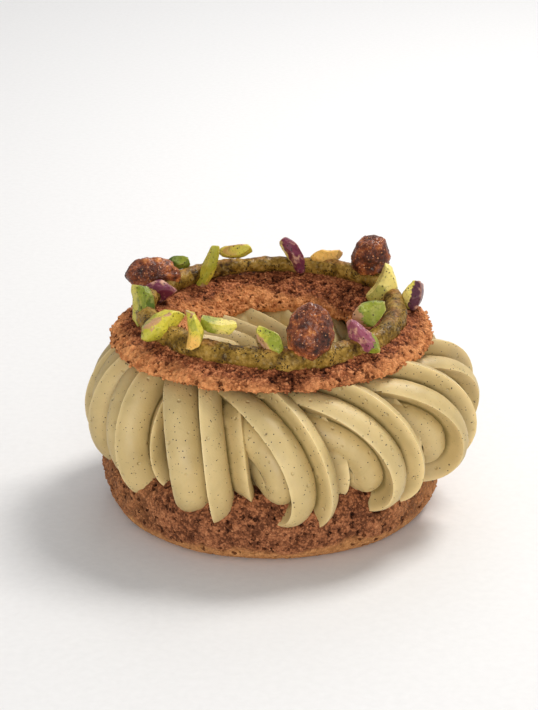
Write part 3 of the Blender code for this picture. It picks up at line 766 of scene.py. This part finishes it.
def make_praline():
    """Pipe the praline along the crest, with the lumps of coarse nut paste."""
    points, crest = np.empty((*PRALINE_GRID, 3)), np.empty(PRALINE_GRID)
    for i, azimuth in enumerate(round_angles(PRALINE_GRID[0])):
        centre, thick = praline_place(azimuth)
        out = Vector((math.sin(azimuth), -math.cos(azimuth), 0.0))
        for j, angle in enumerate(round_angles(PRALINE_GRID[1])):
            direction = out * math.cos(angle) + Vector((0, 0, 1)) * math.sin(angle)
            spot = centre + direction * thick
            lump = 0.34 * noise.noise(spot * 0.35) + 0.22 * noise.noise(spot * 0.9 + Vector((9, 0, 0)))
            lump += 0.16 * grain(spot, 1.3) - 0.05
            points[i, j] = centre + direction * (thick * 0.97 + lump)
            crest[i, j] = math.sin(angle)
    mesh = mesh_of("praline_paste", points.reshape(-1, 3), grid_faces(*PRALINE_GRID))
    face_outwards(mesh)
    paint(mesh, "crest", crest.ravel())
    return add_object("praline_paste", mesh)


def unit_ball(subdivisions):
    """Points and faces of a fine ball of radius 1."""
    work = bmesh.new()
    bmesh.ops.create_icosphere(work, subdivisions=subdivisions, radius=1.0)
    points = np.array([v.co for v in work.verts])
    faces = np.array([[v.index for v in f.verts] for f in work.faces])
    work.free()
    return points, faces


def make_nut(number, centre, size, turn):
    """A whole nut in a rough coat of caramelised sugar."""
    points, faces = unit_ball(NUT_BALL)
    half = np.array(size) / 2
    shift = Vector((7.0 * number, 3.0, 0.0))
    lumps = np.array([noise.noise(Vector(p * half * 0.45) + shift) for p in points])
    taper = 1 - NUT_TAPER * points[:, 2]
    smooth = points * (half + NUT_LUMPS * lumps[:, None])
    smooth[:, :2] *= taper[:, None]
    heights = []
    for p in smooth:
        spot = Vector(p) + shift
        knob = NUT_KNOBS[number - 1] * grain(spot, 2.3)
        coarse = 0.24 * grain(spot + noise.noise_vector(spot * 0.8) * 0.3, 0.95)
        heights.append(knob + coarse + 0.16 * grain(spot, 0.55) - 0.24)
    heights = np.array(heights)
    smooth = smooth + points * heights[:, None]
    x, y, z = (Matrix.Rotation(math.radians(angle), 3, axis) for angle, axis in zip(turn, "XYZ"))
    rotation = np.array(z @ y @ x)
    mesh = mesh_of(f"sugared_nut_{number}", smooth @ rotation.T + np.array(centre), faces)
    paint(mesh, "height", heights)
    return add_object(mesh.name, mesh)


def kernel_radius(points, kind, seed):
    """How far a cut kernel reaches along each direction, and where it is cut rather than rind."""
    reach = np.ones(len(points))
    cut = np.zeros(len(points))
    rng = np.random.default_rng(seed)
    nicks = [(rng.normal(size=3), rng.uniform(*NICK_DISTANCE)) for _ in range(NICKS)]
    for normal, distance in list(CUTS[kind]) + nicks:
        plane = np.array(normal) / np.linalg.norm(normal)
        lean = points @ plane
        to_plane = np.where(lean > 0.05, distance / np.maximum(lean, 0.05), 9.0)
        cut = np.maximum(cut, fade(1.0 - to_plane, -0.03, 0.05))
        both = np.exp(-CUT_CRISPNESS * reach) + np.exp(-CUT_CRISPNESS * np.minimum(to_plane, 3.0))
        reach = -np.log(both) / CUT_CRISPNESS
    return reach, cut


def make_kernel(number, kind, centre, size, axis, roll, flesh_angle, skin_angle):
    """A cut piece of pistachio kernel, lying along its axis."""
    points, faces = unit_ball(KERNEL_BALL)
    reach, cut = kernel_radius(points, kind, number)
    shape = points * reach[:, None]
    low, high = shape.min(axis=0), shape.max(axis=0)
    shape = (shape - (low + high) / 2) / (high - low) * np.array(size)
    shift = Vector((13.0 * number, 0.0, 7.0))
    bumps = []
    for p, c in zip(shape, cut):
        spot = Vector(p) + shift
        wrinkle = 0.16 * noise.noise(Vector((spot.x * 0.7, spot.y * 2.0, spot.z * 2.0)))
        facet = 0.28 * noise.noise(spot * 0.42) + 0.07 * noise.noise(spot * 1.3)
        bumps.append(wrinkle * (1 - c) + facet * (0.35 + 0.65 * c))
    shape = shape + points * np.array(bumps)[:, None]
    shape[:, 2] += KERNEL_CURL * size[2] * (2 * shape[:, 0] / size[0]) ** 2
    along = Vector(axis).normalized()
    basis = Vector((1, 0, 0)).rotation_difference(along).to_matrix()
    rotation = np.array(basis @ Matrix.Rotation(math.radians(roll), 3, "X"))
    placed = shape @ rotation.T
    mesh = mesh_of(f"pistachio_cut_{number:02d}", placed + np.array(centre), faces)
    paint(mesh, "cut", cut)
    paint(mesh, "bend", bend_of(mesh))
    for name, angle in (("flesh", flesh_angle), ("skin", skin_angle)):
        towards = placed @ np.array([math.cos(math.radians(angle)), -0.3, math.sin(math.radians(angle))])
        paint(mesh, name, towards / np.abs(towards).max())
    return add_object(mesh.name, mesh)


# Materials


class Nodes:
    """Builds one procedural material node by node."""

    def __init__(self, name):
        self.material = bpy.data.materials.new(name)
        self.material.use_nodes = True
        self.tree = self.material.node_tree
        self.shader = self.tree.nodes["Principled BSDF"]
        self.place = self.add("TexCoord").outputs["Object"]

    def add(self, kind, inputs=(), **settings):
        """Add a node, set its properties and fill or link its inputs."""
        made = self.tree.nodes.new("ShaderNode" + kind)
        for key, value in settings.items():
            setattr(made, key, value)
        for key, value in dict(inputs).items():
            self.fill(made.inputs[key], value)
        return made

    def fill(self, socket, value):
        """Link a socket, or set its own value."""
        if isinstance(value, bpy.types.NodeSocket):
            self.tree.links.new(value, socket)
        elif hasattr(value, "__len__") and len(value) == 3 and socket.type == "RGBA":
            socket.default_value = (*value, 1.0)
        else:
            socket.default_value = value

    def pattern(self, kind, size, **inputs):
        """A texture node whose features are this many millimetres across."""
        return self.add("Tex" + kind, {"Vector": self.place, "Scale": 1 / (size * MM), **inputs})

    def noise(self, size, detail=4.0, rough=0.55):
        """Cloudy noise."""
        return self.pattern("Noise", size, Detail=detail, Roughness=rough).outputs["Fac"]

    def cells(self, size, place=None):
        """Cells: the distance from the middle of one, and its random colour."""
        made = self.pattern("Voronoi", size, Vector=place or self.place)
        return made.outputs["Distance"], made.outputs["Color"]

    def bent(self, size, amount):
        """The place, pushed about by noise, so that cells lose their regular outline."""
        push = self.pattern("Noise", size, Detail=3.0).outputs["Color"]
        inputs = {0: push, 1: (amount * MM,) * 3, 2: self.place}
        return self.add("VectorMath", inputs, operation="MULTIPLY_ADD").outputs["Vector"]

    def dots(self, size, share, start, stop, channel="Red", test="LESS_THAN", place=None):
        """Round dots, one to a cell, in those cells whose random colour passes the test."""
        distance, colour = self.cells(size, place)
        held = self.maths(test, self.part_of(colour, channel), share)
        return self.maths("MULTIPLY", self.range(distance, start, stop), held)

    def number(self, name):
        """A number painted on the vertices."""
        return self.add("Attribute", attribute_name=name).outputs["Fac"]

    def ramp(self, factor, stops):
        """A colour ramp; stops are (place, colour)."""
        made = self.add("ValToRGB", {"Fac": factor})
        band = made.color_ramp
        while len(band.elements) < len(stops):
            band.elements.new(0.5)
        for element, (place, colour) in zip(band.elements, stops):
            element.position = place
            element.color = (*colour, 1.0)
        return made.outputs["Color"]

    def range(self, value, start, stop, low=0.0, high=1.0):
        """Carry a value from one range to another, clamped and smooth."""
        made = self.add("MapRange", {"Value": value, "From Min": start, "From Max": stop,
                                     "To Min": low, "To Max": high}, interpolation_type="SMOOTHSTEP")
        return made.outputs["Result"]

    def total(self, *terms):
        """A weighted sum of values."""
        result = 0.0
        for value, weight in terms:
            result = self.maths("ADD", self.maths("MULTIPLY", value, weight), result)
        return result

    def part_of(self, colour, channel="Red"):
        """One channel of a colour."""
        return self.add("SeparateColor", {"Color": colour}).outputs[channel]

    def maths(self, operation, a, b):
        """One sum."""
        made = self.add("Math", operation=operation)
        self.fill(made.inputs[0], a)
        self.fill(made.inputs[1], b)
        return made.outputs[0]

    def mix(self, factor, a, b, blend="MIX"):
        """Mix two colours."""
        made = self.add("Mix", data_type="RGBA", blend_type=blend)
        for index, value in ((0, factor), (6, a), (7, b)):
            self.fill(made.inputs[index], value)
        return made.outputs[2]

    def over(self, below, above, amount, weight):
        """Lay a colour over another, by an amount times a weight."""
        return self.mix(self.maths("MULTIPLY", amount, weight), below, above)

    def bump(self, height, depth):
        """Fine relief, this many millimetres deep."""
        inputs = {"Height": height, "Distance": depth * MM, "Strength": 1.0}
        return self.add("Bump", inputs).outputs["Normal"]

    def finish(self, colour, roughness, normal, **fixed):
        """Wire the shader and return the material."""
        fixed.update(base_color=colour, roughness=roughness, normal=normal)
        for name, value in fixed.items():
            self.fill(self.shader.inputs[name.replace("_", " ").title().replace("Ior", "IOR")], value)
        return self.material


def crust_material(name, colours, toast, toast_share, crisp):
    """Cracked sugar crust: brown crumbs, lighter high spots, painted shade in its pits and holes, and a
    toasted part.
    """
    n = Nodes(name)
    height = n.number("height")
    crumb, crumb_colour = n.cells(CRUMB_CELL)
    shade = n.part_of(crumb_colour)
    raised = n.range(height, *CRUST_RAISED)
    tone = n.total((n.noise(6.0, 3.0), 0.10), (n.noise(1.4, 3.0), 0.15), (n.noise(0.56, 4.0, 0.7), crisp),
                   (shade, 0.14), (crumb, -0.12), (raised, 0.20))
    middle = CRUST_MIDDLE + crisp / 2
    colour = n.ramp(tone, [(middle + step, tint) for step, tint in zip(CRUST_STEPS, colours)])
    toasted = n.total((n.noise(2.2, 5.0, 0.65), 0.6), (raised, 0.2), (shade, 0.2))
    colour = n.over(colour, n.ramp(toasted, toast), n.number("toast"), toast_share)
    # Painted shade: the fine holes and the deep pits darken the crust's colour.
    hole = n.dots(*HOLES, "Green", place=n.bent(*HOLE_BEND))
    hole_shade = n.maths("SUBTRACT", 1.0, n.maths("MULTIPLY", hole, HOLE_SHADE_DARKNESS))
    painted_pit_shade = n.maths("MULTIPLY", n.range(height, *PIT_SHADE), hole_shade)
    painted_pit_shade = n.add("CombineColor", {"Red": painted_pit_shade, "Green": n.maths("POWER", painted_pit_shade, PIT_SHADE_WARMTH[0]),
                                 "Blue": n.maths("POWER", painted_pit_shade, PIT_SHADE_WARMTH[1])}).outputs[0]
    fine = n.total((n.noise(0.35, 4.0, 0.7), 1.0), (crumb, -0.8), (hole, -1.5))
    return n.finish(n.mix(1.0, colour, painted_pit_shade, "MULTIPLY"), n.range(shade, 0.0, 1.0, 0.60, 0.85),
                    n.bump(fine, CRUST_BUMP), specular_ior_level=0.12)


def cream_material():
    """Whipped pistachio cream: olive beige, satin, with fine dark specks of ground nut."""
    n = Nodes("pistachio cream")
    tone = n.noise(9.0, 2.0)
    colour = n.ramp(tone, ((0.35, CREAM_DEEP), (0.65, CREAM_PALE)))
    # Painted highlight on the crests and painted shade in the grooves, read from how the cream bends; then
    # random darker streaks.
    colour = n.over(colour, CREAM_CREST_HIGHLIGHT, n.range(n.number("bend"), *CREST_HIGHLIGHT_BEND), 0.75)
    colour = n.over(colour, CREAM_GROOVE_SHADE_AND_STREAK, n.range(n.number("bend"), *GROOVE_SHADE_BEND), 0.85)
    colour = n.over(colour, CREAM_GROOVE_SHADE_AND_STREAK, n.range(n.noise(0.9, 3.0, 0.7), 0.60, 0.78), 0.25)
    for size, radius, share, speck in SPECKS:
        colour = n.mix(n.dots(size, share, radius, radius * SPECK_EDGE, "Green"), colour, speck)
    dimple = n.range(n.cells(3.4)[0], 0.16, 0.05, 0.0, -1.0)
    fine = n.total((n.noise(0.5, 3.0), 0.05), (n.noise(2.5, 2.0), 0.10), (dimple, 0.25))
    return n.finish(colour, n.range(tone, 0.3, 0.7, 0.44, 0.56), n.bump(fine, 1.0),
                    subsurface_weight=0.20, subsurface_radius=(1.0, 0.7, 0.35), subsurface_scale=1.2 * MM)


def praline_material():
    """Coarse pistachio praline: olive to yellow-brown paste, moist, full of dark and pale bits."""
    n = Nodes("pistachio praline")
    base = n.total((n.noise(4.0, 2.0), 0.55), (n.noise(0.9, 4.0, 0.65), 0.45))
    colour = n.ramp(base, PASTE)
    patch = n.range(n.noise(3.5, 3.0), 0.44, 0.62)
    for size, share in PASTE_BITS:
        bit = n.dots(size, n.maths("MULTIPLY", patch, share), 0.50, 0.36)
        colour = n.over(colour, PASTE_DARK_BIT, bit, 0.9)
    pale = n.maths("GREATER_THAN", n.part_of(n.cells(0.7)[1], "Green"), 0.92)
    colour = n.over(colour, PASTE_PALE_BIT, pale, 0.18)
    crest = n.maths("MULTIPLY", n.range(n.number("crest"), 0.70, 1.0), n.range(n.noise(6.0), 0.45, 0.58))
    colour = n.over(colour, n.ramp(n.noise(0.8, 4.0), PASTE_TOAST), crest, 0.6)
    fine = n.total((n.noise(0.6, 4.0, 0.65), 1.0), (n.cells(0.55)[0], -0.5))
    return n.finish(colour, n.range(n.noise(1.4), 0.35, 0.65, 0.22, 0.50), n.bump(fine, 0.20),
                    coat_weight=0.05, coat_roughness=0.06, specular_ior_level=0.10)


def nut_material():
    """Caramelised nut: dark red-brown, rough sugar coat with amber spots, painted glints and painted shade
    between its knobs.
    """
    n = Nodes("caramelised sugar")
    height = n.range(n.number("height"), -0.25, 0.25)
    # The height term darkens the sugar between the knobs: painted shade.
    tone = n.total((n.noise(3.4, 2.0, 0.6), 0.64), (n.noise(0.5, 3.0, 0.7), 0.22), (height, 0.14))
    colour = n.ramp(tone, SUGAR)
    # Painted glints on the sugar crystals.
    for size, share, glint_colour in SUGAR_GLINTS:
        spot = n.dots(size, 1 - share, 0.48, 0.25, "Blue", "GREATER_THAN")
        colour = n.mix(spot, colour, glint_colour)
    fine = n.total((n.cells(0.42)[0], -1.0), (n.noise(0.3, 3.0, 0.7), 1.0))
    return n.finish(colour, n.range(tone, 0.4, 0.7, 0.40, 0.16), n.bump(fine, 0.26),
                    coat_weight=0.26, coat_roughness=0.06, specular_ior_level=0.22)


def kernel_material(number, low, high, rind_colour, skin_colour, skin_from):
    """Cut pistachio: flesh from one colour to another, green rind and maybe some skin left on."""
    n = Nodes(f"pistachio {number:02d}")
    blotch = n.noise(1.8, 3.0, 0.6)
    streak = n.noise(0.7, 4.0, 0.7)
    flesh = n.range(n.total((n.number("flesh"), 1.0), (blotch, 1.2)), 0.2, 1.0)
    colour = n.mix(flesh, low, high)
    colour = n.over(colour, rind_colour, n.range(n.number("cut"), 0.75, 0.25), 0.6)
    colour = n.mix(n.range(streak, 0.54, 0.68, 0.0, 0.60), colour, GREEN_DEEP)
    colour = n.mix(n.range(n.noise(1.7, 3.0, 0.6), 0.52, 0.68, 0.0, 0.22), colour, FLESH_PALE)
    cover = n.range(n.total((n.number("skin"), 1.0), (blotch, 0.9), (streak, 0.5)),
                    skin_from + SKIN_EDGE[0], skin_from + SKIN_EDGE[1])
    mottled = n.mix(n.range(n.noise(2.4, 4.0, 0.6), 0.50, 0.68), skin_colour, SKIN_PALE)
    colour = n.mix(cover, colour, mottled)
    # Painted highlight along the piece's sharp edges.
    edge = n.range(n.number("bend"), *KERNEL_EDGE_HIGHLIGHT)
    colour = n.over(colour, n.mix(cover, FLESH_PALE, SKIN_PALE), edge, 0.55)
    bit = n.dots(0.55, n.range(blotch, 0.40, 0.65, 0.0, 0.30), 0.42, 0.28)
    colour = n.mix(bit, colour, BROWN_BIT)
    fine = n.total((n.noise(0.5, 4.0, 0.6), 1.0), (n.noise(1.6, 2.0), 1.0))
    return n.finish(colour, n.range(blotch, 0.3, 0.7, 0.28, 0.46), n.bump(fine, 0.16),
                    subsurface_weight=0.08, subsurface_radius=(0.8, 1.0, 0.3), subsurface_scale=0.8 * MM,
                    specular_ior_level=0.3)


# Pieces and stage


def wear(thing, material, slot, *nodes):
    """Give a piece its material and its body, and hide the solids that it stands for. Its slot is not used.
    """
    thing.data.materials.clear()
    thing.data.materials.append(material)
    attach(thing, BODY)
    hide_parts(*nodes)


def wander_of(points, pace):
    """A slow random number for each point."""
    return np.array([noise.noise(Vector(p) * pace) for p in points])


def base_toast(points):
    """Where the lower crust is golden: its foot and inside, and its sides a little."""
    x, y, z = points.T
    wander = wander_of(points, 0.16)
    foot = fade(z + 2.2 * wander, 4.6, 2.6)
    sides = 0.7 * fade(x + 4.0 * wander, 20.0, 38.0) + 0.3 * fade(x + 4.0 * wander, -24.0, -38.0)
    return np.where(np.hypot(x - BASE_X, y) < BASE_INSIDE, 1.0, np.maximum(foot, sides))


def lid_toast(points):
    """Where the lid is golden: its outer rim, less so in front, and the edge of its hole."""
    x, y, z = points.T
    side = np.hypot(x - LID_X, y)
    wander = wander_of(points, 0.2)
    front = np.exp(-((x - 4.0) / 19.0) ** 2) * (y < 0.0)
    outer = fade(side + 2.0 * wander - 3.0 * front, 34.2, 38.2) * (1.0 - 0.40 * front)
    inner = fade(z - 0.04 * y + 0.05 * x + 1.5 * wander, 45.7, 44.1) * (side < LID_INSIDE)
    return np.maximum(outer, inner)


def make_shell(name, node, outline, columns, shape, relief, share, grains, toast, look):
    """A choux ring whose crust is pressed and raised point by point and strewn with crumbs."""
    points, normals = turned_ring(outline, columns, shape)
    heights = np.array([relief(Vector(p)) for p in points])
    surface = points + normals * heights[:, None]
    quads = grid_faces(len(outline), columns)
    extra, triangles, tones = crumbs(surface, normals, share(points), *grains)
    faces = np.vstack([quads[:, :3], quads[:, [0, 2, 3]], triangles + len(surface)])
    mesh = mesh_of(name, np.vstack([surface, extra]), faces)
    paint(mesh, "height", np.concatenate([heights, tones]))
    paint(mesh, "toast", toast(vertex_array(mesh)))
    wear(add_object(name, mesh), crust_material(name.replace("_", " "), *look), name, node)


def make_base():
    """The lower choux ring: cracked reddish crust over a golden foot."""
    outline = resample(cut_corners(base_profile(), 1),
                       lambda r, z: np.where(r > 34.5, FINE_STEP, BASE_COARSE_STEP))
    make_shell("base_crust", "base_shell", outline, BASE_COLUMNS, shape_base, base_relief,
               lambda p: fade(p[:, 2], 3.5, 6.0) * (np.hypot(p[:, 0], p[:, 1]) > BASE_INSIDE),
               BASE_CRUMBS, base_toast, BASE_LOOK)


def make_lid():
    """The choux lid: a thin crumbly ring, golden at its rims."""
    outline = resample(cut_corners(lid_profile(), 2),
                       lambda r, z: np.where((z > 42.0) | (r > 36.5), FINE_STEP, LID_COARSE_STEP))
    make_shell("lid_crust", "top_shell", outline, LID_COLUMNS, shape_lid, lid_relief,
               lambda p: fade(p[:, 2], LID_UNDER, LID_UNDER + 1.2), LID_CRUMBS, lid_toast, LID_LOOK)


def make_camera():
    """The photograph's view: 20 degrees down from in front, with a long lens."""
    data = bpy.data.cameras.new("view")
    data.sensor_width = SENSOR
    data.lens = LENS
    data.clip_start = 0.01
    camera = add_object("view", data)
    camera.location = CAMERA_PLACE
    camera.rotation_euler = (math.radians(CAMERA_PITCH), 0.0, 0.0)
    bpy.context.scene.camera = camera


def area_light(name, place, aim, size, power, colour):
    """A soft square light."""
    data = bpy.data.lights.new(name, "AREA")
    data.energy, data.size, data.color = power, size, colour
    light = add_object(name, data)
    light.location = place
    light.rotation_euler = (Vector(aim) - Vector(place)).to_track_quat("-Z", "Y").to_euler()


def make_stage():
    """A pale floor under soft studio light from the right and behind."""
    mesh = bpy.data.meshes.new("floor")
    corners = [(x * FLOOR_REACH, y * FLOOR_REACH, 0) for x, y in ((-1, -1), (1, -1), (1, 1), (-1, 1))]
    mesh.from_pydata(corners, [], [(0, 1, 2, 3)])
    floor = add_object("floor", mesh)
    n = Nodes("pale floor")
    paper = n.noise(2.0, 3.0)
    mesh.materials.append(n.finish(n.ramp(paper, FLOOR), 0.7, n.bump(paper, 0.05)))
    world = bpy.data.worlds.new("studio")
    bpy.context.scene.world = world
    world.use_nodes = True
    sky = world.node_tree.nodes["Background"]
    sky.inputs["Color"].default_value = (*SKY, 1.0)
    sky.inputs["Strength"].default_value = SKY_STRENGTH
    for light in LIGHTS:
        area_light(*light)
    bpy.context.scene.view_settings.view_transform = "Standard"


def make_toppings():
    """The caramelised nuts and the cut pistachios on the praline."""
    caramel = nut_material()
    for index, nut in enumerate(NUTS, start=1):
        wear(make_nut(index, *nut), caramel, "caramel", f"caramelised_nut_{index}")
    for index, (row, look) in enumerate(zip(PIECES, KERNEL_LOOKS), start=1):
        low, high, rind, flesh_angle, skin_colour, skin_angle, skin_from = look
        piece = make_kernel(index, *row, flesh_angle, skin_angle)
        material = kernel_material(index, low, high, rind, skin_colour, skin_from)
        slot = "pistachio_skin" if index in SKIN_PIECES else "pistachio"
        wear(piece, material, slot, f"pistachio_piece_{index:02d}")


make_camera()
make_stage()
make_base()
make_lid()
wear(make_cream(), cream_material(), "cream", "cream_ring")
wear(make_praline(), praline_material(), "praline", "praline_ring")
make_toppings()

bpy.context.view_layer.update()
